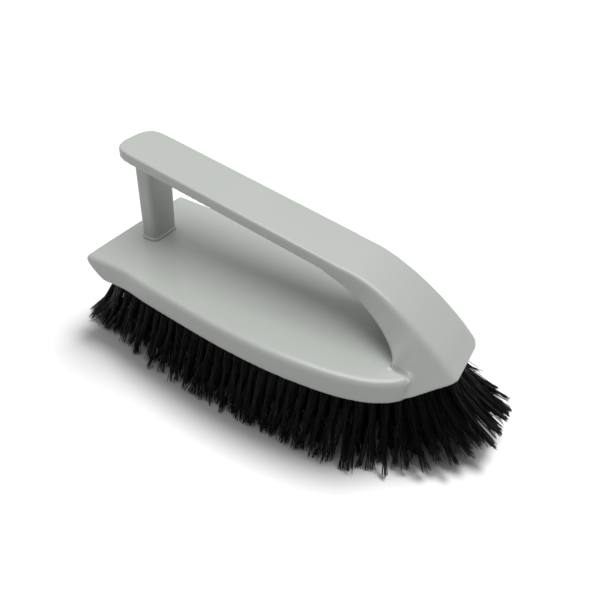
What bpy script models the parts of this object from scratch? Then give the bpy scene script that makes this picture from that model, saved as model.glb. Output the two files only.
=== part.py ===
"""Hand scrub brush with a loop handle, built as the pieces it is assembled from.

X runs along the block from the stern to the nose, Y across it, and Z up from the bristle tips.
The block carries the tufts, each folded over a wire anchor in its own drilled hole. The handle
is one moulding: a flat grip, a rear post whose foot sits in a socket, and a bow that caps the
block's tongue. Everything is placed from the block's stern and shifted as a whole at the end.
"""
import math
import random

import bmesh
import bpy
import numpy as np
from mathutils import Vector, geometry

MM = 0.001

# Fits and cuts
SEAM_GAP = 0.3 * MM
CUT_OVERRUN = 4.0 * MM
SEAT_RELIEF = 0.1 * MM
MIRROR_TOLERANCE = 0.1 * MM
FILLET_ROOM_SHARE = 0.45

# Block: overall sizes and edge shapes
TRIM_LENGTH = 26.8 * MM
BLOCK_LENGTH = 152.4 * MM
BLOCK_HALF_WIDTH = 37.2 * MM
BLOCK_HEIGHT = 9.7 * MM
RIM_RADIUS = 2.4 * MM
FOOT_CHAMFER = 0.5 * MM
STERN_OVERHANG = 1.4 * MM
STERN_BOW = 0.4 * MM
STERN_HALF_WIDTH = 30.9 * MM
STERN_CORNER_RADIUS = 2.2 * MM
STERN_UNDERCUT = 7.0 * MM
STERN_REACH = 26.0 * MM
STERN_SHARES = (0.0, 0.35, 0.7)
RIM_STEPS = 4
WALL_STEPS = 3

# Block side from the stern corner to the bow: of the way to the crease, and of the half width
SIDE_SHARES = ((0.131, 0.826), (0.232, 0.878), (0.363, 0.934), (0.508, 0.983), (0.654, 1.0),
               (0.763, 0.974), (0.857, 0.914), (0.93, 0.822), (0.978, 0.706))
SIDE_STEPS = 2

# Bow seam: where the handle's bow meets the block's rim, and the lip where both end
CREASE_BACK = 14.7 * MM
CREASE_SLANT = 2.0 * MM
CREASE_HALF_WIDTH = 22.8 * MM
LIP_HALF_WIDTH = 12.2 * MM
LIP_DEPTH = 2.6 * MM
TONGUE_END_WALL = 4.1 * MM
TONGUE_ROOT_HALF_WIDTH = 12.4 * MM
TONGUE_TIP_HALF_WIDTH = 7.6 * MM
TONGUE_FLARE = 5.6 * MM

# Grip: the flat band of the handle, sloping down to the bow
GRIP_HALF_WIDTH = 11.6 * MM
GRIP_THICKNESS = 4.4 * MM
GRIP_START = 2.2 * MM
GRIP_RISE = 42.6 * MM
GRIP_DROP = 17.4 * MM
GRIP_EDGE_RADIUS = 2.0 * MM
GRIP_UNDER_RADIUS = 0.9 * MM
GRIP_END_ROUND = 9.8 * MM
GRIP_END_RADIUS = 1.6 * MM
EDGE_STEPS = 4
UNDER_STEPS = 2

# Grip's rear end: along the rounding, of the half width, and how far the top drops
GRIP_END_SHARES = ((0.0, 0.24, 1.0), (0.03, 0.38, 0.45), (0.07, 0.48, 0.12), (0.17, 0.73, 0.0),
                   (0.34, 0.9, 0.0), (0.63, 0.983, 0.0), (1.0, 1.0, 0.0))

# Bow: the band bends down to the lip, and flares to the block's rim
BOW_BACK = 47.4 * MM
ARCH_BACK = 60.4 * MM
ARCH_FOOT_BACK = 20.4 * MM
ARCH_FOOT_HALF_WIDTH = 21.3 * MM
ARCH_CROWN_BACK = 15.4 * MM
BOW_EDGE_RADIUS = 4.2 * MM
BOW_CORNER_RADIUS = 2.6 * MM
BOW_HOLLOW = 0.2 * MM
BOW_BULGE = 0.5 * MM

# Bow's top line from where it leaves the grip's slope: along to the lip, and of its height
BOW_TOP_SHARES = ((0.156, 0.95), (0.348, 0.812), (0.559, 0.594), (0.77, 0.317), (0.907, 0.1),
                  (1.0, -0.1))
BOW_TOP_STEPS = 4

# Arch under the bow: along its top, along its foot, height of its foot, and flare
ARCH_SHARES = ((0.0, 0.0, 1.0, 0.0), (0.144, 0.163, 0.927, 0.0), (0.278, 0.293, 0.854, 0.0),
               (0.411, 0.415, 0.76, 0.0), (0.544, 0.54, 0.644, 0.05), (0.678, 0.688, 0.506, 0.196),
               (0.789, 0.813, 0.369, 0.371), (0.889, 0.925, 0.189, 0.577),
               (0.956, 0.975, 0.086, 0.794), (1.0, 1.0, 0.0, 1.0))

# Bow behind and ahead of the crease: along its top, and along the seam or the lip below
ROOT_SHARES = ((0.195, 0.526), (0.357, 1.0))
LIP_SHARES = ((0.52, 0.0), (0.714, 0.31), (0.87, 0.65), (0.955, 0.88), (0.99, 0.97))

# Post: the rear support of the grip, with a stub that sits in the block's socket
POST_REAR = 8.3 * MM
POST_LENGTH = 8.3 * MM
POST_HALF_WIDTH = 7.5 * MM
POST_CORNER_RADIUS = 3.4 * MM
POST_FOOT_TAPER = 0.3 * MM
POST_FOOT_HEIGHT = 1.8 * MM
STUB_STEP = 0.6 * MM
SOCKET_DEPTH = 2.4 * MM
CORNER_STEPS = 4

# Tufts: plugs folded over their anchors, in drilled holes on two loops and a middle row
TUFT_RADIUS = 2.3 * MM
TUFT_DEPTH = 4.6 * MM
TUFT_RECESS = 0.4 * MM
TUFT_SIDES = 6
HOLE_CLEARANCE = 0.42 * MM
HOLE_SIDES = 10
ANCHOR_THICKNESS = 0.5 * MM
ANCHOR_GAP = 0.35 * MM
STERN_MARGIN = 5.2 * MM
NOSE_MARGIN = 18.4 * MM
LOOP_TUFT_PAIRS = (14, 7)
LOOP_LENGTH_SHARES = (1.0, 0.78)
LOOP_WIDTH_SHARES = (0.85, 0.43)
LOOP_SIDE_SHARE = 0.85
LOOP_FRONT_SHARES = (0.918, 0.6)
TONGUE_TUFT_SHARES = ((0.264, 0.887), (0.594, 0.29))
MIDDLE_ROW_SHARES = (0.19, 0.275, 0.36, 0.445, 0.53, 0.615, 0.7, 0.785)

# Strands: how each tuft's filaments spread, splay and end
STRAND_RADIUS = 0.52 * MM
STRAND_RING_RADIUS = 1.4 * MM
STRAND_SIDES = 3
STRANDS_AROUND = 6
STRAND_SPREAD_SHARE = 2.8
STRAND_BEND_SHARES = (0.5, 0.43)
STRAND_WANDER = 0.6 * MM
TRIM_FLAT = 0.5 * MM
TRIM_RAGGED = 2.2 * MM
STERN_SPLAY = 17.5 * MM
NOSE_SPLAY = 25.0 * MM
STERN_SPLAY_POWER = 3
NOSE_SPLAY_POWER = 5
STRAND_SEED = 20

# Outline of the trimmed tips: along the block's length, and of its half width
TIP_SHARES = ((-0.066, 0.726), (0.0, 0.806), (0.14, 0.93), (0.31, 1.075), (0.46, 1.115),
              (0.63, 1.18), (0.735, 1.17), (0.81, 1.135), (0.9, 0.98), (0.99, 0.76),
              (1.06, 0.47), (1.12, 0.27))

# Heights and places that follow from the sizes above
BLOCK_TOP = TRIM_LENGTH + BLOCK_HEIGHT
CREASE_X = BLOCK_LENGTH - CREASE_BACK
CREASE_FOOT_X = CREASE_X + CREASE_SLANT
BOW_START = BLOCK_LENGTH - BOW_BACK
ARCH_START = BLOCK_LENGTH - ARCH_BACK
ARCH_FOOT_X = BLOCK_LENGTH - ARCH_FOOT_BACK
ARCH_CROWN_X = BLOCK_LENGTH - ARCH_CROWN_BACK
GRIP_SLOPE = GRIP_DROP / BOW_START


def clear_scene():
    for item in list(bpy.data.objects):
        bpy.data.objects.remove(item, do_unlink=True)


def make_material(name, colour, roughness):
    material = bpy.data.materials.new(name)
    material.use_nodes = True
    shader = material.node_tree.nodes["Principled BSDF"]
    shader.inputs["Base Color"].default_value = (*colour, 1.0)
    shader.inputs["Roughness"].default_value = roughness
    shader.inputs["Metallic"].default_value = 0.0
    material.diffuse_color = (*colour, 1.0)
    return material


def add_object(name, mesh, material=None, parent=None, location=(0, 0, 0)):
    item = bpy.data.objects.new(name, mesh)
    item.location = location
    item.parent = parent
    if material:
        mesh.materials.append(material)
    bpy.context.collection.objects.link(item)
    return item


def finish_mesh(bm, name, sharp_angle=40.0):
    """Turn every face outwards, write the mesh, and shade its round parts smooth."""
    bmesh.ops.recalc_face_normals(bm, faces=bm.faces)
    mesh = bpy.data.meshes.new(name)
    bm.to_mesh(mesh)
    bm.free()
    mesh.shade_smooth()
    mesh.set_sharp_from_angle(angle=math.radians(sharp_angle))
    return mesh


def hide_cutter(cutter):
    cutter.hide_render = True
    cutter.display_type = "WIRE"


def combine(item, other, operation):
    """Join or cut one object with another by an exact Boolean."""
    modifier = item.modifiers.new(other.name, "BOOLEAN")
    modifier.operation = operation
    modifier.solver = "EXACT"
    modifier.object = other
    hide_cutter(other)


def smooth_through(points, steps):
    """A curve through hand-placed points, with a few steps between each two."""
    points = np.array(points, float)
    before = 2 * points[0] - points[1]
    after = 2 * points[-1] - points[-2]
    padded = np.vstack([before, points, after])
    curve = []
    for index in range(len(points) - 1):
        a, b, c, d = padded[index:index + 4]
        for step in range(steps):
            t = step / steps
            curve.append(0.5 * (2 * b + (c - a) * t + (2 * a - 5 * b + 4 * c - d) * t ** 2
                                + (3 * b - a - 3 * c + d) * t ** 3))
    curve.append(points[-1])
    return np.array(curve)


def add_ring(bm, points):
    return [bm.verts.new(point) for point in points]


def bridge_rings(bm, rings):
    """Side faces between each ring of a loft and the next."""
    for lower, upper in zip(rings, rings[1:]):
        for index in range(len(lower)):
            following = (index + 1) % len(lower)
            bm.faces.new((lower[index], lower[following], upper[following], upper[index]))


def make_loft(bm, ring_points):
    rings = [add_ring(bm, points) for points in ring_points]
    bridge_rings(bm, rings)
    bm.faces.new(rings[0])
    bm.faces.new(rings[-1])
    return rings


def local_height(x):
    """The block's height at x: full to the crease, then less as the underside rises to the lip."""
    rise_share = max(0.0, (x - CREASE_FOOT_X) / (BLOCK_LENGTH - CREASE_FOOT_X))
    return BLOCK_HEIGHT + (LIP_DEPTH - BLOCK_HEIGHT) * rise_share


def underside(x):
    return BLOCK_TOP - local_height(x)


def block_side():
    """Half the block's outline at its widest level, from the stern's middle to the crease."""
    side = [(STERN_CORNER_RADIUS - STERN_OVERHANG, STERN_HALF_WIDTH)]
    side += [(along * CREASE_X, across * BLOCK_HALF_WIDTH) for along, across in SIDE_SHARES]
    side.append((CREASE_X - SEAM_GAP, CREASE_HALF_WIDTH))
    side = smooth_through(side, SIDE_STEPS)
    corner_y = side[0][1] - STERN_CORNER_RADIUS
    outline = []
    for share in STERN_SHARES:
        outline.append((-STERN_OVERHANG - STERN_BOW * (1 - share ** 2), share * corner_y))
    for step in range(CORNER_STEPS):
        turn = math.pi / 2 * step / CORNER_STEPS
        outline.append((side[0][0] - STERN_CORNER_RADIUS * math.cos(turn),
                        corner_y + STERN_CORNER_RADIUS * math.sin(turn)))
    return np.vstack([outline, side])


def inward_normals(outline):
    """Unit normals into the block along a half outline, square to the stern at its middle."""
    mirrored = outline[1] * np.array([1, -1])
    padded = np.vstack([mirrored, outline, 2 * outline[-1] - outline[-2]])
    tangents = padded[2:] - padded[:-2]
    tangents /= np.linalg.norm(tangents, axis=1)[:, None]
    return np.column_stack([tangents[:, 1], -tangents[:, 0]])


def tongue_outline(clearance, depth):
    """Half outline of the tongue that the bow caps, at one depth below the block's top."""
    tip_x = BLOCK_LENGTH - TONGUE_END_WALL
    slope = (TONGUE_ROOT_HALF_WIDTH - TONGUE_TIP_HALF_WIDTH) / (tip_x - CREASE_X)
    share = depth / BLOCK_HEIGHT
    root_x = CREASE_X - SEAM_GAP + CREASE_SLANT * share
    tip_y = TONGUE_TIP_HALF_WIDTH + TONGUE_FLARE * share + clearance * math.hypot(1, slope)
    return [(root_x, tip_y + slope * (tip_x - root_x)),
            (tip_x + clearance, tip_y - slope * clearance)]


def mirrored_ring(half):
    """A closed ring from a half that starts and ends on the mirror plane."""
    other = [(x, -y, z) for x, y, z in half if abs(y) > MIRROR_TOLERANCE]
    return half + other[::-1]


def stern_weight(x):
    """How much of the stern's undercut reaches forward to x."""
    return min(1.0, max(0.0, 1 - x / STERN_REACH) ** 2)


def block_ring(outline, normals, depth, inset):
    """The block's outline at one depth below its top, with the rim's inset there.

    Below the rim the stern slopes under like a boat's.
    """
    share = depth / BLOCK_HEIGHT
    undercut = STERN_UNDERCUT * max(0.0, depth - RIM_RADIUS) / (BLOCK_HEIGHT - RIM_RADIUS)
    half = []
    for (x, y), (inward_x, inward_y) in zip(outline, normals):
        x, y = x + inset * inward_x + undercut * stern_weight(x), y + inset * inward_y
        half.append((x, y, BLOCK_TOP - depth))
    x, y, z = half[-1]
    half[-1] = (CREASE_X - SEAM_GAP + CREASE_SLANT * share, y, z)
    root = tongue_outline(0, depth)[0]
    half.append((root[0], root[1], BLOCK_TOP - depth))
    tip_depth = share * local_height(BLOCK_LENGTH - TONGUE_END_WALL)
    tip = tongue_outline(0, tip_depth)[1]
    half.append((tip[0], tip[1], BLOCK_TOP - tip_depth))
    half[0] = (half[0][0], 0, half[0][2])
    return mirrored_ring(half)


def make_block(material, parent, tufts):
    """A boat-shaped moulding with a rounded rim, drilled for the tufts and the post's stub."""
    outline = block_side()
    normals = inward_normals(outline)
    levels = []
    for step in range(RIM_STEPS + 1):
        turn = math.pi / 2 * step / RIM_STEPS
        levels.append((RIM_RADIUS * (1 - math.cos(turn)), RIM_RADIUS * (1 - math.sin(turn))))
    wall_foot = BLOCK_HEIGHT - FOOT_CHAMFER
    for step in range(1, WALL_STEPS + 1):
        levels.append((RIM_RADIUS + (wall_foot - RIM_RADIUS) * step / WALL_STEPS, 0))
    levels.append((BLOCK_HEIGHT, FOOT_CHAMFER))
    bm = bmesh.new()
    rings = [add_ring(bm, block_ring(outline, normals, depth, inset)) for depth, inset in levels]
    bridge_rings(bm, rings)
    bm.faces.new(rings[0])
    root = len(outline)
    last = rings[-1]
    other_root = len(last) - root
    bm.faces.new(last[:root + 1] + last[other_root:])
    bm.faces.new(last[root:other_root + 1])
    block = add_object("block", finish_mesh(bm, "block", 30.0), material, parent)
    combine(block, make_hole_cutter(parent, tufts), "DIFFERENCE")
    combine(block, make_socket_cutter(parent), "DIFFERENCE")
    return block


def rounded_rectangle(low_x, high_x, half_width, radius, z):
    points = []
    corners = ((high_x, half_width, 0), (low_x, half_width, 1), (low_x, -half_width, 2),
               (high_x, -half_width, 3))
    for x, y, quarter in corners:
        centre_x = x - radius if x == high_x else x + radius
        centre_y = y - radius if y > 0 else y + radius
        for step in range(CORNER_STEPS + 1):
            turn = math.pi / 2 * (quarter + step / CORNER_STEPS)
            points.append((centre_x + radius * math.cos(turn),
                           centre_y + radius * math.sin(turn), z))
    return points


def post_section(inset, z):
    return rounded_rectangle(POST_REAR + inset, POST_REAR + POST_LENGTH - inset,
                             POST_HALF_WIDTH - inset, POST_CORNER_RADIUS - inset, z)


def make_socket_cutter(parent):
    """The post's stub and its clearance, sunk into the block's top."""
    inset = POST_FOOT_TAPER + STUB_STEP - SEAM_GAP
    bm = bmesh.new()
    make_loft(bm, [post_section(inset, BLOCK_TOP - SOCKET_DEPTH),
                   post_section(inset, BLOCK_TOP + CUT_OVERRUN)])
    return add_object("socket_cutter", finish_mesh(bm, "socket_cutter"), parent=parent)


def grip_top(x):
    return BLOCK_TOP + GRIP_RISE - GRIP_SLOPE * x


def bow_top_curve():
    """The bow's top line, carried on from the grip's straight slope."""
    height = grip_top(BOW_START) - BLOCK_TOP
    reach = BLOCK_LENGTH - BOW_START
    points = [(ARCH_START, grip_top(ARCH_START)), (BOW_START, grip_top(BOW_START))]
    for along, share in BOW_TOP_SHARES:
        points.append((BOW_START + along * reach, BLOCK_TOP + share * height))
    points[-1] = (BLOCK_LENGTH, BLOCK_TOP - LIP_DEPTH)
    return smooth_through(points, BOW_TOP_STEPS)


def fillet(before, corner, after, radius, steps):
    """Points of a rounded corner, whose radius is limited by the edges that it joins."""
    to_before = np.array(before) - corner
    to_after = np.array(after) - corner
    room = FILLET_ROOM_SHARE * min(np.linalg.norm(to_before), np.linalg.norm(to_after))
    to_before /= np.linalg.norm(to_before)
    to_after /= np.linalg.norm(to_after)
    half_angle = math.acos(np.clip(to_before @ to_after, -1, 1)) / 2
    tangent = min(radius / math.tan(half_angle), room)
    radius = tangent * math.tan(half_angle)
    middle = to_before + to_after
    centre = corner + middle / np.linalg.norm(middle) * radius / math.sin(half_angle)
    start = corner + to_before * tangent - centre
    end = corner + to_after * tangent - centre
    sweep = math.atan2(start[0] * end[1] - start[1] * end[0], start @ end)
    points = []
    for step in range(steps + 1):
        turn = sweep * step / steps
        cosine, sine = math.cos(turn), math.sin(turn)
        points.append(centre + np.array([start[0] * cosine - start[1] * sine,
                                         start[0] * sine + start[1] * cosine]))
    return points


def handle_section(top, foot, top_half, foot_half, edge_radius, hollow):
    """A ring across the handle: flat top, rounded edges, sides that may flare, flat underside."""
    down = np.array([foot[0] - top[0], 0, foot[1] - top[1]])
    depth = np.linalg.norm(down)
    down /= depth
    corner_top = np.array([top_half, 0.0])
    corner_foot = np.array([foot_half, depth])
    upper = fillet((0, 0), corner_top, corner_foot, edge_radius, EDGE_STEPS)
    lower = fillet(corner_top, corner_foot, (0, depth), GRIP_UNDER_RADIUS, UNDER_STEPS)
    middle = (upper[-1] + lower[0]) / 2 - np.array([hollow, 0])
    profile = [np.array([0, 0])] + upper + [middle] + lower + [np.array([0, depth])]
    start = np.array([top[0], 0, top[1]])
    half = [tuple(start + down * drop + np.array([0, across, 0])) for across, drop in profile]
    return mirrored_ring(half)


def grip_sections():
    """Rings of the grip's rounded rear end and its straight band."""
    sections = []
    for along, width, drop in GRIP_END_SHARES:
        x = GRIP_START + along * GRIP_END_ROUND
        top = grip_top(x)
        sections.append(handle_section((x, top - drop * GRIP_END_RADIUS),
                                       (x, top - GRIP_THICKNESS), width * GRIP_HALF_WIDTH,
                                       width * GRIP_HALF_WIDTH, GRIP_EDGE_RADIUS, 0))
    return sections


def bow_stations():
    """Where the bow's rings lie: top x, foot x, foot height above the block, and foot width."""
    stations = []
    arch_height = grip_top(ARCH_START) - GRIP_THICKNESS - BLOCK_TOP - SEAM_GAP
    for top, foot, height, flare in ARCH_SHARES:
        stations.append((ARCH_START + top * (ARCH_CROWN_X - ARCH_START),
                         ARCH_START + foot * (ARCH_FOOT_X - ARCH_START),
                         SEAM_GAP + height * arch_height,
                         GRIP_HALF_WIDTH + flare * (ARCH_FOOT_HALF_WIDTH - GRIP_HALF_WIDTH)))
    for top, foot in ROOT_SHARES:
        stations.append((ARCH_CROWN_X + top * (BLOCK_LENGTH - ARCH_CROWN_X),
                         ARCH_FOOT_X + foot * (CREASE_X - ARCH_FOOT_X),
                         SEAM_GAP,
                         ARCH_FOOT_HALF_WIDTH + foot * (CREASE_HALF_WIDTH - ARCH_FOOT_HALF_WIDTH)))
    for top, foot in LIP_SHARES:
        foot_x = CREASE_FOOT_X + foot * (BLOCK_LENGTH - CREASE_FOOT_X)
        chord = CREASE_HALF_WIDTH + foot * (LIP_HALF_WIDTH - CREASE_HALF_WIDTH)
        stations.append((ARCH_CROWN_X + top * (BLOCK_LENGTH - ARCH_CROWN_X),
                         foot_x,
                         -local_height(foot_x),
                         chord + 4 * BOW_BULGE * foot * (1 - foot)))
    return stations


def bow_sections():
    """Rings of the bow: the band bends, flares to the block's rim and closes at the lip."""
    curve = bow_top_curve()
    sections = []
    for top_x, foot_x, foot_height, foot_half in bow_stations():
        top_z = np.interp(top_x, curve[:, 0], curve[:, 1])
        bend = np.clip((top_x - BOW_START) / (BLOCK_LENGTH - BOW_START), 0, 1)
        edge_radius = GRIP_EDGE_RADIUS + bend * (BOW_EDGE_RADIUS - GRIP_EDGE_RADIUS)
        flare = (foot_half - GRIP_HALF_WIDTH) / (CREASE_HALF_WIDTH - GRIP_HALF_WIDTH)
        top_half = GRIP_HALF_WIDTH + bend * (LIP_HALF_WIDTH - GRIP_HALF_WIDTH)
        corner = max(0.0, 1 - (BLOCK_LENGTH - top_x) / BOW_CORNER_RADIUS)
        top_half -= BOW_CORNER_RADIUS * corner ** 3
        foot_half -= BOW_CORNER_RADIUS * corner ** 3
        sections.append(handle_section((top_x, top_z), (foot_x, BLOCK_TOP + foot_height),
                                       top_half, foot_half, edge_radius,
                                       BOW_HOLLOW * flare))
    return sections


def make_post(parent):
    """The rear post, from inside the grip down to its stub in the block's socket."""
    post_end = POST_REAR + POST_LENGTH
    crown = (grip_top(POST_REAR) - GRIP_THICKNESS + grip_top(post_end)) / 2
    foot = BLOCK_TOP + POST_FOOT_HEIGHT
    stub = POST_FOOT_TAPER + STUB_STEP
    bm = bmesh.new()
    make_loft(bm, [post_section(stub, BLOCK_TOP - SOCKET_DEPTH + SEAM_GAP),
                   post_section(stub, foot), post_section(POST_FOOT_TAPER, foot),
                   post_section(0, crown)])
    return add_object("post_body", finish_mesh(bm, "post_body"), parent=parent)


def make_tongue_cutter(parent):
    """The hollow in the bow that takes the block's tongue."""
    rear = (ARCH_FOOT_X + CREASE_X) / 2
    bm = bmesh.new()
    rings = []
    for depth in (BLOCK_HEIGHT + CUT_OVERRUN, -SEAM_GAP - SEAT_RELIEF):
        root, tip = tongue_outline(SEAM_GAP, depth)
        half = [(rear, root[1]), root, tip]
        rings.append([(x, y, BLOCK_TOP - depth) for x, y in half]
                     + [(x, -y, BLOCK_TOP - depth) for x, y in half[::-1]])
    make_loft(bm, rings)
    return add_object("tongue_cutter", finish_mesh(bm, "tongue_cutter"), parent=parent)


def make_handle(material, parent):
    """Grip, post and bow in one moulding, hollowed for the block's tongue."""
    bm = bmesh.new()
    make_loft(bm, grip_sections() + bow_sections())
    handle = add_object("handle", finish_mesh(bm, "handle"), material, parent)
    combine(handle, make_post(parent), "UNION")
    combine(handle, make_tongue_cutter(parent), "DIFFERENCE")
    return handle


def tuft_loop(length_share, width_share):
    """Half of a loop of tufts: the underside's edge drawn inwards, with a straight front."""
    edge = []
    for x, y in block_side():
        if x < LOOP_SIDE_SHARE * BLOCK_LENGTH:
            edge.append((x + STERN_UNDERCUT * stern_weight(x), y))
    edge[0] = (edge[0][0], 0)
    along, across = LOOP_FRONT_SHARES
    front = (along * BLOCK_LENGTH, across * BLOCK_HALF_WIDTH)
    edge = np.array(edge + [front, (front[0], 0)])
    stern = edge[0][0]
    first = stern + STERN_MARGIN
    last = BLOCK_LENGTH - NOSE_MARGIN
    x = first + (edge[:, 0] - stern) * (last - first) / (front[0] - stern)
    middle = (first + last) / 2
    return np.column_stack([middle + length_share * (x - middle), width_share * edge[:, 1]])


def tongue_tufts():
    reach = BLOCK_LENGTH - TONGUE_END_WALL - CREASE_X
    return [(CREASE_X + along * reach, across * TONGUE_ROOT_HALF_WIDTH)
            for along, across in TONGUE_TUFT_SHARES]


def tuft_places():
    """Where the tufts leave the underside: loops, a few in the tongue, and a middle row."""
    places = []
    for pairs, length, width in zip(LOOP_TUFT_PAIRS, LOOP_LENGTH_SHARES, LOOP_WIDTH_SHARES):
        loop = tuft_loop(length, width)
        travel = np.concatenate([[0], np.cumsum(np.linalg.norm(np.diff(loop, axis=0), axis=1))])
        for index in range(pairs):
            at = travel[-1] * (index + 0.5) / pairs
            x = float(np.interp(at, travel, loop[:, 0]))
            y = float(np.interp(at, travel, loop[:, 1]))
            places += [(x, y), (x, -y)]
    for x, y in tongue_tufts():
        places += [(x, y), (x, -y)]
    return places + [(share * BLOCK_LENGTH, 0.0) for share in MIDDLE_ROW_SHARES]


def outer_tufts():
    """Half outline through the outermost tufts, from the stern to the tongue."""
    loop = tuft_loop(LOOP_LENGTH_SHARES[0], LOOP_WIDTH_SHARES[0])
    return np.array(list(loop[1:-1]) + tongue_tufts())


def splay(x, y, outer):
    """How far a tuft's tips stand outside its root, growing towards the tips' outline."""
    middle = BLOCK_LENGTH / 2
    along = (x - middle) / (outer[-1][0] - middle)
    if along > 0:
        splay_x = NOSE_SPLAY * along ** NOSE_SPLAY_POWER
    else:
        splay_x = STERN_SPLAY * along * abs(along) ** (STERN_SPLAY_POWER - 1)
    tip_x = [share * BLOCK_LENGTH for share, width in TIP_SHARES]
    tip_y = [width * BLOCK_HALF_WIDTH for share, width in TIP_SHARES]
    strand_reach = STRAND_RING_RADIUS * STRAND_SPREAD_SHARE
    limit = float(np.interp(x + splay_x, tip_x, tip_y)) - strand_reach
    edge = float(np.interp(x, outer[:, 0], outer[:, 1]))
    return splay_x, (limit - edge) * (y / edge) ** 2


class Tuft:
    """One tuft's frame: its mouth in the underside, the axis of its hole, and its tips' centre."""

    def __init__(self, index, x, y, outer):
        self.index = index
        self.side = -1 if y < 0 else 1
        self.mouth = np.array([x, abs(y), underside(x)])
        splay_x, splay_y = splay(x, abs(y), outer)
        self.tips = np.array([x + splay_x, abs(y) + splay_y, 0])
        fall, drift = STRAND_BEND_SHARES
        lean = (self.tips - self.mouth) * np.array([drift, drift, fall])
        self.axis = lean / np.linalg.norm(lean)
        along = np.array([1, 0, 0]) - self.axis[0] * self.axis
        self.along = along / np.linalg.norm(along)
        self.across = np.cross(self.axis, self.along)

    def at(self, along, across, depth):
        """A point in the hole's frame, with depth measured up from the mouth."""
        point = (self.mouth + self.along * along + self.across * across - self.axis * depth)
        return Vector((point[0], point[1] * self.side, point[2]))


def hole_depth():
    return TUFT_RECESS + TUFT_DEPTH + SEAM_GAP


def make_hole_cutter(parent, tufts):
    """All the drilled holes, as one cutter."""
    bm = bmesh.new()
    radius = TUFT_RADIUS + HOLE_CLEARANCE
    for tuft in tufts:
        rings = []
        for depth in (-CUT_OVERRUN, hole_depth()):
            ring = []
            for step in range(HOLE_SIDES):
                turn = 2 * math.pi * step / HOLE_SIDES
                ring.append(tuft.at(radius * math.cos(turn), radius * math.sin(turn), depth))
            rings.append(ring)
        make_loft(bm, rings)
    return add_object("hole_cutter", finish_mesh(bm, "hole_cutter"), parent=parent)


def anchor_margin():
    """What a side of the plug shows round the end of its anchor wire."""
    side_length = 2 * TUFT_RADIUS * math.sin(math.pi / TUFT_SIDES)
    return (side_length - ANCHOR_THICKNESS) / 2


def plug_ring(tuft, depth):
    ring = []
    for step in range(TUFT_SIDES):
        turn = 2 * math.pi * (step + 0.5) / TUFT_SIDES
        ring.append(tuft.at(TUFT_RADIUS * math.cos(turn), TUFT_RADIUS * math.sin(turn), depth))
    return ring


def strand_roots():
    """Strand centres on a plug's end: one in the middle and a ring round it."""
    roots = [(0.0, 0.0)]
    for step in range(STRANDS_AROUND):
        turn = 2 * math.pi * step / STRANDS_AROUND
        roots.append((STRAND_RING_RADIUS * math.cos(turn), STRAND_RING_RADIUS * math.sin(turn)))
    return roots


def strand_corner(step):
    turn = 2 * math.pi * step / STRAND_SIDES
    return STRAND_RADIUS * math.cos(turn), STRAND_RADIUS * math.sin(turn)


def end_face_pattern():
    """Triangles of a plug's end between its rim and its strands' roots, by point number."""
    points = []
    edges = []
    for step in range(TUFT_SIDES):
        turn = 2 * math.pi * (step + 0.5) / TUFT_SIDES
        points.append((TUFT_RADIUS * math.cos(turn), TUFT_RADIUS * math.sin(turn)))
        edges.append((step, (step + 1) % TUFT_SIDES))
    root_faces = set()
    for root_x, root_y in strand_roots():
        first = len(points)
        for step in range(STRAND_SIDES):
            corner_x, corner_y = strand_corner(step)
            points.append((root_x + corner_x, root_y + corner_y))
            edges.append((first + step, first + (step + 1) % STRAND_SIDES))
        root_faces.add(frozenset(range(first, first + STRAND_SIDES)))
    scaled = [Vector(point) / TUFT_RADIUS for point in points]
    faces = geometry.delaunay_2d_cdt(scaled, edges, [], 0, 1e-6)[2]
    return [face for face in faces if frozenset(face) not in root_faces]


def add_strand(bm, tuft, root_verts, root, wander):
    """One filament from its root on the plug: it bends outwards and is trimmed level."""
    fall, drift = STRAND_BEND_SHARES
    start = np.array(tuft.at(root[0], root[1], TUFT_RECESS))
    start[1] *= tuft.side
    spread = STRAND_SPREAD_SHARE
    sideways = np.array([tuft.along[0], tuft.along[1], 0]) * root[0]
    sideways += np.array([tuft.across[0], tuft.across[1], 0]) * root[1]
    tip = tuft.tips + sideways * spread
    tip[0] += wander.uniform(-STRAND_WANDER, STRAND_WANDER)
    tip[1] += wander.uniform(-STRAND_WANDER, STRAND_WANDER)
    tip[2] = max(0.0, wander.uniform(-2 * TRIM_FLAT, TRIM_RAGGED))
    bend = start + (tip - start) * np.array([drift, drift, fall])
    rings = [root_verts]
    for centre in (bend, tip):
        ring = []
        for step in range(STRAND_SIDES):
            corner_x, corner_y = strand_corner(step)
            offset = tuft.along * corner_x + tuft.across * corner_y
            point = centre + np.array([offset[0], offset[1], 0])
            ring.append(bm.verts.new((point[0], point[1] * tuft.side, point[2])))
        rings.append(ring)
    bridge_rings(bm, rings)
    bm.faces.new(rings[-1])


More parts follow.
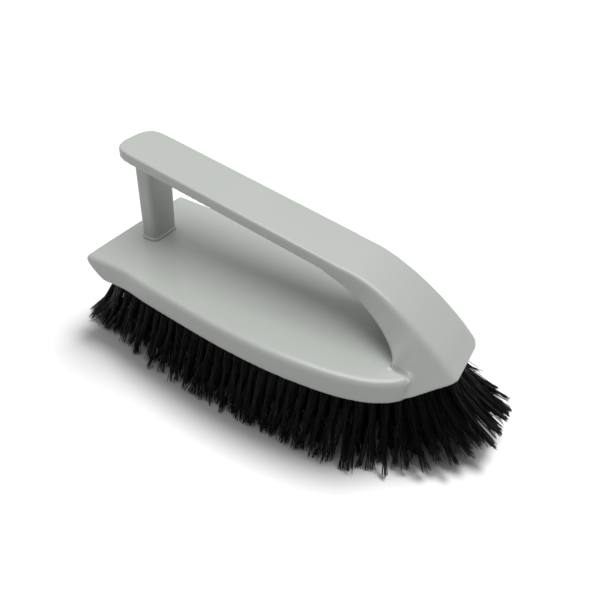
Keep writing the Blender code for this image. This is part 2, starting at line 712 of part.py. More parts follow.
def make_tuft(tuft, pattern, material, parent):
    """A bundle folded round its anchor in a hole, whose strands grow from its lower end.

    The anchor wire is fused with the bundle, and its two ends reach for the hole's wall.
    """
    bm = bmesh.new()
    crown = add_ring(bm, plug_ring(tuft, TUFT_RECESS + TUFT_DEPTH))
    rim = add_ring(bm, plug_ring(tuft, TUFT_RECESS))
    bridge_rings(bm, [crown, rim])
    bm.faces.new(crown)
    end_verts = list(rim)
    roots = strand_roots()
    for root_x, root_y in roots:
        for step in range(STRAND_SIDES):
            corner_x, corner_y = strand_corner(step)
            end_verts.append(bm.verts.new(tuft.at(root_x + corner_x, root_y + corner_y,
                                                  TUFT_RECESS)))
    for face in pattern:
        bm.faces.new([end_verts[index] for index in face])
    wander = random.Random(STRAND_SEED + tuft.index)
    for index, root in enumerate(roots):
        first = TUFT_SIDES + index * STRAND_SIDES
        add_strand(bm, tuft, end_verts[first:first + STRAND_SIDES], root, wander)
    bmesh.ops.recalc_face_normals(bm, faces=bm.faces)
    anchor_reach = HOLE_CLEARANCE + TUFT_RADIUS * (1 - math.cos(math.pi / TUFT_SIDES)) - ANCHOR_GAP
    for step, end in ((TUFT_SIDES // 2 - 1, -1), (TUFT_SIDES - 1, 1)):
        corners = {crown[step], crown[(step + 1) % TUFT_SIDES]}
        side_faces = [face for face in bm.faces
                      if len(face.verts) == 4 and corners <= set(face.verts)]
        bmesh.ops.inset_individual(bm, faces=side_faces, thickness=anchor_margin())
        outwards = (tuft.at(end, 0, 0) - tuft.at(0, 0, 0)) * anchor_reach
        bmesh.ops.translate(bm, verts=side_faces[0].verts, vec=outwards)
    origin = tuft.at(0, 0, 0)
    bmesh.ops.translate(bm, verts=bm.verts, vec=-origin)
    name = f"tuft_{tuft.index:02d}"
    return add_object(name, finish_mesh(bm, name), material, parent, origin)


def centre_on_tips(frame, tuft_objects):
    """Put the whole brush's box centre over the origin, which lies level with the tips."""
    reach = [item.location.x + vert.co.x for item in tuft_objects for vert in item.data.vertices]
    frame.location.x = -(min(reach) + max(reach)) / 2


def main():
    clear_scene()
    frame = bpy.data.objects.new("brush_frame", None)
    bpy.context.collection.objects.link(frame)
    block_plastic = make_material("block_plastic", (0.30, 0.31, 0.285), 0.28)
    handle_plastic = make_material("handle_plastic", (0.30, 0.31, 0.285), 0.28)
    filament = make_material("black_filament", (0.006, 0.006, 0.007), 0.45)
    outer = outer_tufts()
    tufts = [Tuft(index + 1, x, y, outer) for index, (x, y) in enumerate(tuft_places())]
    make_block(block_plastic, frame, tufts)
    make_handle(handle_plastic, frame)
    pattern = end_face_pattern()
    tuft_objects = [make_tuft(tuft, pattern, filament, frame) for tuft in tufts]
    centre_on_tips(frame, tuft_objects)


main()
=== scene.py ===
"""Looks of a hand scrub brush: a grey plastic block and loop handle over black filaments.

X runs along the block from the stern to the nose, Y across it, and Z up from the floor.
"""

import math

import bpy
import numpy as np
from mathutils import Matrix, Vector, geometry
from mathutils.bvhtree import BVHTree


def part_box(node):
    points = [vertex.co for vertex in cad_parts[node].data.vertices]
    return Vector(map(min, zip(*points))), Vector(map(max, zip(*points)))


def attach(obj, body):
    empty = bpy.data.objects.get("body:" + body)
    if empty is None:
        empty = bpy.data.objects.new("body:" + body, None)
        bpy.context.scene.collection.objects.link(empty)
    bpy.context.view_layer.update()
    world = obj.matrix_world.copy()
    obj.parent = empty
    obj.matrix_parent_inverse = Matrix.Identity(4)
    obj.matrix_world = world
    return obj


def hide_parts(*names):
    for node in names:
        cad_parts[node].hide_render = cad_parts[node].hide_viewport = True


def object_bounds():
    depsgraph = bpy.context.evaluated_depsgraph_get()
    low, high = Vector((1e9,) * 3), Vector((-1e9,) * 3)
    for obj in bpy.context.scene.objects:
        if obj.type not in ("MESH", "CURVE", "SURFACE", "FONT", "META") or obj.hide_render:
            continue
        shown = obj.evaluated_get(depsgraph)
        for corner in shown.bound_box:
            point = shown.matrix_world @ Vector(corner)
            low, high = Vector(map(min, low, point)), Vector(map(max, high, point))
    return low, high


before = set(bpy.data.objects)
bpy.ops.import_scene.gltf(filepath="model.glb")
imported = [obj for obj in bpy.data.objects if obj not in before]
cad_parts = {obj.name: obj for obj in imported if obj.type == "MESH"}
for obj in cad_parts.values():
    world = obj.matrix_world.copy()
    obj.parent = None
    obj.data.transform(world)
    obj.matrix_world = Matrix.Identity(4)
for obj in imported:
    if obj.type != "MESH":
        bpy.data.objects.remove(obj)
cad_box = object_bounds()
MM = 0.001

# Camera, fitted to the photograph in a frame that starts at the stern's top edge
CAMERA_PLACE = Vector((170.249, -166.257, 145.927)) * MM
CAMERA_RIGHT = Vector((0.856668, 0.513570, 0.048638))
CAMERA_DOWN = Vector((0.349381, -0.508242, -0.787161))
CAMERA_FORWARD = Vector((-0.379542, 0.691329, -0.614827))
CAMERA_LENS = 36.092
CAMERA_SENSOR = 36.0
CAMERA_SHIFT = (0.0179, -0.0199)
CAMERA_NEAR = 0.01

# Light, in metres: a soft surround that is brightest overhead and dim at its open front, a
# softbox over the brush, and a soft sun from behind for the floor alone, whose shadow falls forward
WHITE = (1.0, 1.0, 1.0, 1.0)
SKY_LOW = 0.12
SKY_HIGH = 1.0
OPEN_FRONT = (0.66, -0.66, 0.36)
FRONT_SPAN = (0.42, 0.86)
FRONT_SHARE = 0.02
KEY_PLACE = Vector((0.15, 0.02, 0.98))
KEY_SIZE = 0.85
KEY_WATTS = 7.8
GROUND_PLACE = Vector((0.09, 0.48, 1.0))
GROUND_ANGLE = 0.45
GROUND_STRENGTH = 5.1
FLOOR_SIZE = 6.0
FLOOR_SHOWN = 0.58
FLOOR_BOUNCE = 0.43

# Block, in millimetres from the stern's top edge; its side is given as half widths along it
BLOCK_LENGTH = 152.4
BLOCK_HEIGHT = 10.0
RIM_RADIUS = 2.4
FOOT_CHAMFER = 0.3
STERN_OVERHANG = 1.4
STERN_BOW = 0.4
STERN_SHARES = (0.0, 0.35, 0.7)
STERN_HALF_WIDTH = 30.9
STERN_CORNER_RADIUS = 1.7
STERN_UNDERCUT = 8.0
UNDERCUT_CURVE = 1.6
STERN_REACH = 26.0
BURIED_SLANT = 0.3
BLOCK_LOW, BLOCK_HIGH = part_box("block")
FIT_ORIGIN = Vector((BLOCK_LOW[0] + (STERN_OVERHANG + STERN_BOW) * MM, 0.0, BLOCK_HIGH[2]))
SIDE_POINTS = ((18.0, 30.7), (31.9, 32.7), (50.0, 34.7), (70.0, 36.6), (90.1, 37.2),
               (105.1, 36.3), (118.0, 34.4), (128.1, 31.2), (134.6, 27.3), (137.6, 24.5),
               (139.0, 22.4), (139.4, 20.4), (139.6, 14.0))
SIDE_STEPS = 8
RIM_STEPS = 10
WALL_STEPS = 4
CORNER_STEPS = 8

# Handle, in the same measure: its band and the rounds of its edges
GRIP_HALF_WIDTH = 11.6
LIP_HALF_WIDTH = 12.2
GRIP_THICKNESS = 4.4
GRIP_START = 1.8
GRIP_RISE = 42.55
BOW_START = 105.0
GRIP_FALL = 17.4
GRIP_SLOPE = GRIP_FALL / BOW_START
GRIP_END_ROUND = 9.8
GRIP_END_RADIUS = 1.6
GRIP_EDGE_RADIUS = 2.0
BOW_EDGE_RADIUS = 2.2
FLANK_ROUND = 3.0
KNEE_ROUND = 1.0
UNDER_RADIUS = 0.9
CUT_LIMIT_SHARE = 0.48
ROUND_STEPS = 7
FLANK_BULGE = 0.2
FLANK_MIDDLE_SHARE = 0.55
GRIP_KNEE_SHARE = 0.3
ARCH_KNEE_RISE = 0.6

# Rounded end of the band: shares of its length, of the half width and of the drop of its top
GRIP_END_SHARES = ((0.0, 0.24, 1.0), (0.03, 0.38, 0.45), (0.07, 0.48, 0.12), (0.17, 0.73, 0.0),
                   (0.34, 0.9, 0.0), (0.63, 0.983, 0.0), (1.0, 1.0, 0.0))

# Top of the bow along the middle, and the bow's stations behind the block's rim: where the top
# lies, then place, half width and height of the arch's edge below
BOW_TOP = ((92.0, 27.6), (105.0, 25.45), (112.4, 24.25), (121.5, 20.75), (131.5, 15.2),
           (141.5, 8.15), (148.0, 2.65), (153.0, -3.1))
ARCH_STATIONS = ((92.0, 92.0, 11.6, 22.95), (98.5, 98.5, 11.6, 21.3), (104.5, 103.7, 11.6, 19.65),
                 (110.5, 108.6, 11.6, 17.52), (116.5, 113.6, 12.1, 14.89),
                 (122.5, 119.5, 13.5, 11.76), (127.5, 124.5, 15.2, 8.66),
                 (132.0, 129.0, 17.2, 4.58), (135.0, 131.0, 19.3, 2.25))

# The bow's stations ahead of them: where the top lies, the knee of the flank, and its foot
ROOT_STATIONS = ((136.6, (132.0, 21.1, 0.0), (133.0, 19.6, -9.0)),
                 (138.6, (134.1, 20.1, 0.0), (134.6, 19.4, -9.0)),
                 (140.4, (136.2, 19.7, -0.4), (136.4, 19.9, -9.2)),
                 (142.0, (138.0, 20.3, -2.8), (138.0, 21.3, -9.5)),
                 (143.2, (139.5, 21.9, -6.4), (139.3, 22.7, -9.0)),
                 (144.6, (141.0, 21.4, -7.0), (140.9, 22.1, -8.3)),
                 (146.3, (143.3, 19.8, -5.9), (143.2, 20.4, -7.1)),
                 (148.1, (145.7, 18.0, -4.7), (145.6, 18.5, -5.8)),
                 (149.9, (148.1, 16.2, -3.5), (148.0, 16.7, -4.5)),
                 (151.2, (150.4, 14.4, -2.8), (150.3, 14.8, -3.6)),
                 (152.1, (151.7, 12.9, -2.8), (151.6, 13.1, -3.4)),
                 (152.9, (152.7, 10.4, -3.2), (152.7, 10.5, -3.6)))
STATION_STEPS = 4
BOW_CORNER_RADIUS = 2.0

# Sweep of the arch's underside onto the block's top: places and heights, and its half widths
SWEEP_PROFILE = ((129.6, 0.0), (130.4, 0.25), (131.0, 0.8), (131.5, 1.7), (131.9, 3.2),
                 (132.4, 4.6), (134.0, 5.0), (134.0, -2.0), (129.6, -2.0))
SWEEP_HALF_WIDTHS = (21.6, 21.5, 21.2, 20.8, 18.6, 17.2, 16.0, 21.0, 21.0)

# Groove in the block's top along the foot of the bow's flank, and the heights it acts between
GROOVE_LINE = ((132.0, 20.9), (134.0, 20.7), (136.1, 20.5), (138.0, 20.8), (139.6, 21.5))
GROOVE_DEPTHS = (0.0, 1.2, 1.6, 1.4, 0.5)
GROOVE_HALF_WIDTH = 1.0
GROOVE_FLOOR = -4.0
GROOVE_CEILING = 1.0

# Post: rounded sections, each with its height and how far its wall is drawn in
POST_REAR = 8.3
POST_LENGTH = 8.3
POST_HALF_WIDTH = 7.5
POST_CORNER_RADIUS = 2.6
POST_FOOT = ((-1.6, -0.3), (0.95, -0.3), (1.15, -0.15), (1.2, 0.2), (1.35, 0.27), (2.4, 0.28))
POST_CROWN = ((-1.6, 0.0), (-0.9, -0.05), (-0.4, -0.3), (-0.05, -0.8), (0.6, -1.3))

# Skin over block and handle
VOXEL = 0.5
SMOOTH_PASSES = 5
SMOOTH_FACTOR = 0.5

# Finishes: a noise has its scale and detail, a bump its strength and height
GREYS = ((0.425, 0.445, 0.42), (0.45, 0.47, 0.445))
BLOCK_ROUGHNESS = (0.2, 0.27)
HANDLE_ROUGHNESS = (0.26, 0.34)
CLOUD_NOISE = (30.0, 1.0)
GLOSS_NOISE = (55.0, 1.0)
WAVE_NOISE = (30.0, 0.0)
WAVE_BUMP = (0.1, 0.3 * MM)
GRAIN_NOISE = (900.0, 2.0)
GRAIN_BUMP = (0.05, 0.05 * MM)
BLACKS = ((0.0015, 0.0015, 0.002), (0.005, 0.005, 0.006))
FILAMENT_ROUGHNESS = (0.32, 0.5)
FILAMENT_GLOSS = 0.25
TONE_NOISE = (260.0, 2.0)
TONE_SPAN = (0.3, 0.7)
RIB_NOISE = (1500.0, 1.0)
RIB_BUMP = (0.2, 0.05 * MM)
FULL_SPAN = (0.0, 1.0)

# Filaments, in metres: how the solid of a tuft is read
PLUG_END = 1.5 * MM
TIP_END = 3.0 * MM
MOUTH_SHARE = 1.2
LEAN_SHARES = (0.43, 0.43, 0.5)

# Bunches in the holes, and one or two between two holes that lie near each other
BUNCH_REACH = 19.0 * MM
BUNCH_SPLIT = 9.0 * MM
NEAR_SHARES = (1 / 2,)
FAR_SHARES = (1 / 3, 2 / 3)
SAME_PLACE = 1e-4

# Each bunch: its filaments, and the locks in which their tips close
FILAMENTS = 36
NOSE_FILAMENTS = 60
FILAMENT_RADIUS = 0.2 * MM
FILAMENT_SIDES = 3
FILAMENT_RINGS = 7
TAPER = 0.7
ROOT_RADIUS = 2.1 * MM
ROOT_DEPTH = 3.6 * MM
GOLDEN_TURN = math.pi * (3 - math.sqrt(5))
LOCKS = 4
LOCK_CORE_SHARE = 0.4
LOCK_CLOSE_SHARE = 0.22
LOCK_STRAY = 1.0 * MM
LOCK_LIFT = 1.0 * MM
BUNCH_STRAY = 0.7 * MM
TIP_SPREAD = 5.3 * MM
TIP_STRAY = 0.6 * MM
TIP_LIFT = 1.3 * MM
EDGE_STRAY = 3.0 * MM

# Splay of the tips: at the nose further out and up, and wider at places along the block, which
# are in millimetres from the stern's top edge
NOSE_TIPS = (140.0, 170.0)
NOSE_RISE = 9.5 * MM
NOSE_WIDEN = 0.12
NOSE_REACH = 2.5 * MM
SIDE_PLACES = (20.0, 60.0, 85.0, 110.0, 118.0, 138.0, 146.0)
SIDE_WIDEN = (1.09, 1.07, 1.04, 1.04, 1.08, 1.08, 1.0)

# Bend of a filament from its hole to its tip, and its crimp
BEND_SHARE = 0.5
BEND_AXIS = 0.6
CRIMP_SIZE = 0.3 * MM
CRIMP_PACE = (1.2, 2.4)
CRIMP_ONSET = 2.5
FILAMENT_SEED = 7


def add_camera():
    """The photograph's camera, whose place and turn are fitted in the stern's frame."""
    data = bpy.data.cameras.new("camera")
    data.lens = CAMERA_LENS
    data.sensor_width = CAMERA_SENSOR
    data.shift_x, data.shift_y = CAMERA_SHIFT
    data.clip_start = CAMERA_NEAR
    camera = bpy.data.objects.new("camera", data)
    turn = Matrix((CAMERA_RIGHT, -CAMERA_DOWN, -CAMERA_FORWARD)).transposed()
    camera.matrix_world = Matrix.Translation(FIT_ORIGIN + CAMERA_PLACE) @ turn.to_4x4()
    bpy.context.scene.collection.objects.link(camera)
    bpy.context.scene.camera = camera


def link(tree, source, output, target, socket):
    """Joins one node's output to another's socket."""
    tree.links.new(source.outputs[output], target.inputs[socket])


def add_world():
    """A surround that the camera sees as white, and that lights softly, most from above."""
    world = bpy.data.worlds.new("surround")
    bpy.context.scene.world = world
    world.use_nodes = True
    tree = world.node_tree
    tree.nodes.clear()
    output = tree.nodes.new("ShaderNodeOutputWorld")
    place = tree.nodes.new("ShaderNodeTexCoord")
    split = tree.nodes.new("ShaderNodeSeparateXYZ")
    link(tree, place, "Generated", split, 0)
    soft = tree.nodes.new("ShaderNodeBackground")
    towards = tree.nodes.new("ShaderNodeVectorMath")
    towards.operation = "DOT_PRODUCT"
    towards.inputs[1].default_value = OPEN_FRONT
    link(tree, place, "Generated", towards, 0)
    level = tree.nodes.new("ShaderNodeMath")
    level.operation = "MULTIPLY"
    height = add_range(tree, split, (SKY_LOW, SKY_HIGH), FULL_SPAN, "Z")
    front = add_range(tree, towards, (1.0, FRONT_SHARE), FRONT_SPAN, "Value")
    link(tree, height, 0, level, 0)
    link(tree, front, 0, level, 1)
    link(tree, level, 0, soft, "Strength")
    white = tree.nodes.new("ShaderNodeBackground")
    path = tree.nodes.new("ShaderNodeLightPath")
    mix = tree.nodes.new("ShaderNodeMixShader")
    for background in (soft, white):
        background.inputs["Color"].default_value = WHITE
    link(tree, path, "Is Camera Ray", mix, 0)
    link(tree, soft, 0, mix, 1)
    link(tree, white, 0, mix, 2)
    link(tree, mix, 0, output, "Surface")


def add_light(name, kind, place, energy, floor, on_floor):
    """A light turned to the origin that lights the floor alone, or all but the floor."""
    data = bpy.data.lights.new(name, kind)
    data.energy = energy
    lamp = bpy.data.objects.new(name, data)
    lamp.location = place
    lamp.rotation_euler = place.to_track_quat("Z", "Y").to_euler()
    bpy.context.scene.collection.objects.link(lamp)
    lit = bpy.data.collections.new(name + "_reach")
    lit.objects.link(floor)
    lit.collection_objects[0].light_linking.link_state = "INCLUDE" if on_floor else "EXCLUDE"
    lamp.light_linking.receiver_collection = lit
    return data


def add_floor():
    """A pale floor, which the camera sees lighter than it bounces light back."""
    mesh = bpy.data.meshes.new("floor")
    half = FLOOR_SIZE / 2
    mesh.from_pydata([(-half, -half, 0), (half, -half, 0), (half, half, 0), (-half, half, 0)],
                     [], [(0, 1, 2, 3)])
    floor = bpy.data.objects.new("floor", mesh)
    bpy.context.scene.collection.objects.link(floor)
    material = bpy.data.materials.new("floor_white")
    material.use_nodes = True
    tree = material.node_tree
    tree.nodes.clear()
    output = tree.nodes.new("ShaderNodeOutputMaterial")
    path = tree.nodes.new("ShaderNodeLightPath")
    mix = tree.nodes.new("ShaderNodeMixShader")
    link(tree, path, "Is Camera Ray", mix, 0)
    for socket, level in ((1, FLOOR_BOUNCE), (2, FLOOR_SHOWN)):
        surface = tree.nodes.new("ShaderNodeBsdfDiffuse")
        surface.inputs["Color"].default_value = (*[level] * 3, 1.0)
        link(tree, surface, 0, mix, socket)
    link(tree, mix, 0, output, "Surface")
    mesh.materials.append(material)
    return floor


def new_material(name):
    """A new material with its node tree and its surface shader."""
    material = bpy.data.materials.new(name)
    material.use_nodes = True
    tree = material.node_tree
    return material, tree, tree.nodes["Principled BSDF"]


def add_noise(tree, scale, detail):
    """Noise in the object's own coordinates."""
    place = tree.nodes.new("ShaderNodeTexCoord")
    noise = tree.nodes.new("ShaderNodeTexNoise")
    noise.inputs["Scale"].default_value = scale
    noise.inputs["Detail"].default_value = detail
    link(tree, place, "Object", noise, "Vector")
    return noise


def add_range(tree, source, results, span=FULL_SPAN, output=0):
    """The results that a node's output gives over a span, held at both ends."""
    scale = tree.nodes.new("ShaderNodeMapRange")
    scale.inputs["From Min"].default_value, scale.inputs["From Max"].default_value = span
    scale.inputs["To Min"].default_value, scale.inputs["To Max"].default_value = results
    link(tree, source, output, scale, "Value")
    return scale


def add_colours(tree, source, colours):
    """A mix of two colours by a node's output."""
    mix = tree.nodes.new("ShaderNodeMixRGB")
    for socket, colour in enumerate(colours, 1):
        mix.inputs[socket].default_value = (*colour, 1.0)
    link(tree, source, 0, mix, 0)
    return mix


def add_bump(tree, source, strength, height):
    """Relief in the surface by a node's output."""
    bump = tree.nodes.new("ShaderNodeBump")
    bump.inputs["Strength"].default_value = strength
    bump.inputs["Distance"].default_value = height
    link(tree, source, 0, bump, "Height")
    return bump


def plastic(name, roughness):
    """Moulded plastic: faint clouds in its grey, a slightly uneven gloss, waves and a grain."""
    material, tree, shader = new_material(name)
    clouds = add_colours(tree, add_noise(tree, *CLOUD_NOISE), GREYS)
    gloss = add_range(tree, add_noise(tree, *GLOSS_NOISE), roughness)
    waves = add_bump(tree, add_noise(tree, *WAVE_NOISE), *WAVE_BUMP)
    grain = add_bump(tree, add_noise(tree, *GRAIN_NOISE), *GRAIN_BUMP)
    link(tree, clouds, "Color", shader, "Base Color")
    link(tree, gloss, 0, shader, "Roughness")
    link(tree, waves, "Normal", grain, "Normal")
    link(tree, grain, "Normal", shader, "Normal")
    return material


def filament_material():
    """Black filaments, slightly uneven in tone and gloss, with a fine relief."""
    material, tree, shader = new_material("black_filament_finish")
    tone = add_noise(tree, *TONE_NOISE)
    gloss = add_range(tree, tone, FILAMENT_ROUGHNESS, TONE_SPAN)
    ribs = add_bump(tree, add_noise(tree, *RIB_NOISE), *RIB_BUMP)
    shader.inputs["Specular IOR Level"].default_value = FILAMENT_GLOSS
    link(tree, add_colours(tree, tone, BLACKS), "Color", shader, "Base Color")
    link(tree, gloss, 0, shader, "Roughness")
    link(tree, ribs, "Normal", shader, "Normal")
    return material


def tuft_frame(node):
    """Mouth and tip centres of a CAD tuft, in its hole and on the floor."""
    points = np.array([v.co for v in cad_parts[node].data.vertices], float)
    high = points[:, 2].max()
    plug = points[points[:, 2] > high - PLUG_END].mean(0)
    tips = points[points[:, 2] < TIP_END].mean(0)
    axis = hole_axis(plug, tips)
    return np.array([plug + axis * ROOT_DEPTH * MOUTH_SHARE, tips])


def hole_axis(mouth, tips):
    """The way a bunch leaves the block: towards its tips, but steeper."""
    lean = (tips - mouth) * np.array(LEAN_SHARES)
    return lean / np.linalg.norm(lean)


def bunches(nodes):
    """Each tuft's own bunch, and those between two neighbours, shared out to their tufts."""
    frames = [tuft_frame(node) for node in nodes]
    mouths = [Vector(mouth[:2]) / MM for mouth, tips in frames]
    edges = geometry.delaunay_2d_cdt(mouths, [], [], 0, SAME_PLACE)[1]
    held = [[own] for own in frames]
    for first, second in sorted(tuple(sorted(edge)) for edge in edges):
        reach = (mouths[first] - mouths[second]).length * MM
        if reach < BUNCH_REACH:
            for share in FAR_SHARES if reach > BUNCH_SPLIT else NEAR_SHARES:
                holder = min((first, second), key=lambda index: len(held[index]))
                held[holder].append((1 - share) * frames[first] + share * frames[second])
    return held


def ahead_of_block(x):
    """How far a place is towards the foremost tips: 0 under the block, 1 out at the nose."""
    return np.interp(x, FIT_ORIGIN[0] + np.array(NOSE_TIPS) * MM, (0, 1))


def bunch_tips(disc, lock, middle, chance, low, high):
    """Tips of one bunch's filaments, from their places in its root and the lock of each."""
    count = len(disc)
    tip = np.zeros((count, 3))
    for number in range(LOCKS):
        mine = lock == number
        centre = disc[mine].mean(0)
        place = TIP_SPREAD * (centre + LOCK_CLOSE_SHARE * (disc[mine] - centre))
        tip[mine, :2] = middle[:2] + place + chance.normal(0, LOCK_STRAY, 2)
        tip[mine, 2] = LOCK_LIFT * chance.random()
    tip[:, :2] += chance.normal(0, BUNCH_STRAY, 2) + chance.normal(0, TIP_STRAY, (count, 2))
    tip[:, 2] += TIP_LIFT * chance.random(count) ** 2
    ahead = ahead_of_block(tip[:, 0])
    tip[:, 1] *= np.interp(tip[:, 0], FIT_ORIGIN[0] + np.array(SIDE_PLACES) * MM, SIDE_WIDEN)
    tip[:, 1] *= 1 + NOSE_WIDEN * ahead
    tip[:, 0] += NOSE_REACH * ahead
    tip[:, 2] += NOSE_RISE * ahead
    inner = EDGE_STRAY * chance.random((count, 2)) ** 2
    tip[:, :2] = np.clip(tip[:, :2], low + inner, high - inner)
    return tip


def bunch_lines(mouth, tips, chance, low, high):
    """Centre lines of one bunch's filaments, ring by ring from the root to the tip."""
    axis = hole_axis(mouth, tips)
    along = np.cross([0, 1, 0], axis)
    along /= np.linalg.norm(along)
    across = np.cross(axis, along)
    count = FILAMENTS + int(NOSE_FILAMENTS * ahead_of_block(tips[0]))
    order = np.arange(count)
    radius = np.sqrt((order + 0.5) / count)
    turn = order * GOLDEN_TURN + chance.uniform(0, 2 * math.pi)
    disc = np.column_stack([radius * np.cos(turn), radius * np.sin(turn)])
    sector = 1 + ((turn / (2 * math.pi)) % 1 * (LOCKS - 1)).astype(int)
    lock = np.where(radius < LOCK_CORE_SHARE, 0, sector)
    root = mouth + ROOT_RADIUS * (disc[:, :1] * along + disc[:, 1:] * across)
    tip = bunch_tips(disc, lock, tips, chance, low, high)
    length = np.linalg.norm(tip - root, axis=1)[:, None]
    control = root + BEND_SHARE * (BEND_AXIS * length * axis + (1 - BEND_AXIS) * (tip - root))
    phase = chance.uniform(0, 2 * math.pi, (count, 2))
    pace = chance.uniform(*CRIMP_PACE, (count, 1))
    lines = [root - axis * ROOT_DEPTH]
    for share in np.linspace(0, 1, FILAMENT_RINGS - 1):
        point = root * (1 - share) ** 2 + 2 * control * share * (1 - share) + tip * share ** 2
        sway = CRIMP_SIZE * min(1.0, share * CRIMP_ONSET)
        point[:, :2] += sway * np.sin(phase + 2 * math.pi * pace * share)
        lines.append(point)
    return np.array(lines), along, across


def filament_mesh(name, bunch_rows, chance):
    """All filaments of one piece, as slim closed prisms round their centre lines."""
    margin = CRIMP_SIZE + FILAMENT_RADIUS
    low, high = (np.array(corner[:2]) for corner in cad_box)
    rings = []
    for mouth, tips in bunch_rows:
        lines, along, across = bunch_lines(mouth, tips, chance, low + margin, high - margin)
        scale = np.ones((FILAMENT_RINGS, 1, 1, 1))
        scale[-1] = TAPER
        turns = 2 * math.pi * np.arange(FILAMENT_SIDES) / FILAMENT_SIDES
        corners = FILAMENT_RADIUS * (np.outer(np.cos(turns), along)
                                     + np.outer(np.sin(turns), across))
        rings.append((lines[:, :, None] + scale * corners).transpose(1, 0, 2, 3))
    vertices = np.concatenate(rings)
    vertices[..., 2] = np.maximum(vertices[..., 2], 0.0)
    steps, sides = np.meshgrid(np.arange(FILAMENT_RINGS - 1), np.arange(FILAMENT_SIDES),
                               indexing="ij")
    after = (sides + 1) % FILAMENT_SIDES
    walls = np.stack([steps * FILAMENT_SIDES + sides, steps * FILAMENT_SIDES + after,
                      (steps + 1) * FILAMENT_SIDES + after,
                      (steps + 1) * FILAMENT_SIDES + sides], -1).reshape(-1, 4)
    per = FILAMENT_RINGS * FILAMENT_SIDES
    firsts = np.arange(len(vertices))[:, None] * per
    caps = np.vstack([firsts + np.arange(FILAMENT_SIDES)[::-1],
                      firsts + per - FILAMENT_SIDES + np.arange(FILAMENT_SIDES)])
    faces = (firsts[:, :, None] + walls[None]).reshape(-1, 4).tolist() + caps.tolist()
    mesh = bpy.data.meshes.new(name)
    mesh.from_pydata(vertices.reshape(-1, 3).tolist(), [], faces)
    mesh.shade_smooth()
    return mesh


def make_filaments(material):
    """A piece of filaments in the place of each tuft of the solids."""
    nodes = sorted(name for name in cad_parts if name.startswith("tuft_"))
    for index, (node, bunch_rows) in enumerate(zip(nodes, bunches(nodes))):
        chance = np.random.default_rng(FILAMENT_SEED + index)
        name = "filaments_" + node.split("_")[1]
        mesh = filament_mesh(name, bunch_rows, chance)
        mesh.materials.append(material)
        piece = bpy.data.objects.new(name, mesh)
        bpy.context.scene.collection.objects.link(piece)
        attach(piece, "root")
        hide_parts(node)


def in_frame(points):
    """Points in millimetres from the stern's top edge, as metres in the part's frame."""
    return np.asarray(points, float) * MM + np.array(FIT_ORIGIN)


def smooth_through(points, steps):
    """A curve through given points, with a few steps between each two."""
    points = np.array(points, float)
    padded = np.vstack([2 * points[0] - points[1], points, 2 * points[-1] - points[-2]])
    curve = []
    for index in range(len(points) - 1):
        a, b, c, d = padded[index:index + 4]
        for step in range(steps):
            t = step / steps
            curve.append(0.5 * (2 * b + (c - a) * t + (2 * a - 5 * b + 4 * c - d) * t ** 2
                                + (3 * b - a - 3 * c + d) * t ** 3))
    curve.append(points[-1])
    return np.array(curve)


def loft(rings):
    """Vertices and faces of a closed skin through rings of equal count, capped at both ends."""
    count = len(rings[0])
    faces = []
    for step in range(len(rings) - 1):
        for index in range(count):
            after = (index + 1) % count
            faces.append((step * count + index, step * count + after,
                          (step + 1) * count + after, (step + 1) * count + index))
    faces.append(tuple(range(count))[::-1])
    last = (len(rings) - 1) * count
    faces.append(tuple(last + index for index in range(count)))
    return np.concatenate(rings), faces


def mirrored(half):
    """A closed ring from a half that starts and ends on the mirror plane."""
    half = np.array(half)
    return np.vstack([half, (half * np.array([1, -1, 1]))[-2:0:-1]])


def block_outline():
    """Half of the block's outline, from the middle of the stern to where the bow buries it."""
    side = [(STERN_CORNER_RADIUS - STERN_OVERHANG, STERN_HALF_WIDTH)] + list(SIDE_POINTS)
    side = smooth_through(side, SIDE_STEPS)
    corner_y = STERN_HALF_WIDTH - STERN_CORNER_RADIUS
    outline = [(-STERN_OVERHANG - STERN_BOW * (1 - share ** 2), share * corner_y)
               for share in STERN_SHARES]
    for step in range(CORNER_STEPS):
        turn = math.pi / 2 * step / CORNER_STEPS
        outline.append((-STERN_OVERHANG + STERN_CORNER_RADIUS * (1 - math.cos(turn)),
                        corner_y + STERN_CORNER_RADIUS * math.sin(turn)))
    return np.vstack([outline, side])


def block_solid():
    """The block: its outline level by level, over the round rim and down the wall to the foot."""
    outline = block_outline()
    padded = np.vstack([outline[1] * np.array([1, -1]), outline, 2 * outline[-1] - outline[-2]])
    tangents = padded[2:] - padded[:-2]
    tangents /= np.linalg.norm(tangents, axis=1)[:, None]
    inward = np.column_stack([tangents[:, 1], -tangents[:, 0]])
    levels = []
    for step in range(RIM_STEPS + 1):
        turn = math.pi / 2 * step / RIM_STEPS
        levels.append((RIM_RADIUS * (1 - math.cos(turn)), RIM_RADIUS * (1 - math.sin(turn))))
    wall_foot = BLOCK_HEIGHT - FOOT_CHAMFER
    for step in range(1, WALL_STEPS + 1):
        levels.append((RIM_RADIUS + (wall_foot - RIM_RADIUS) * step / WALL_STEPS, 0))
    levels.append((BLOCK_HEIGHT, FOOT_CHAMFER))
    rings = []
    weight = np.clip(1 - outline[:, 0] / STERN_REACH, 0, 1) ** 2
    for depth, inset in levels:
        share = depth / BLOCK_HEIGHT
        under = max(0.0, depth - RIM_RADIUS) / (BLOCK_HEIGHT - RIM_RADIUS)
        half = outline + inset * inward
        half[:, 0] += STERN_UNDERCUT * under ** UNDERCUT_CURVE * weight
        half[:, 0] = np.minimum(half[:, 0], outline[-1, 0] - BURIED_SLANT * share)
        half = np.vstack([half, (half[-1, 0], 0)])
        half[0, 1] = 0
        rings.append(mirrored(np.column_stack([half, np.full(len(half), -depth)])))
    return loft(rings)


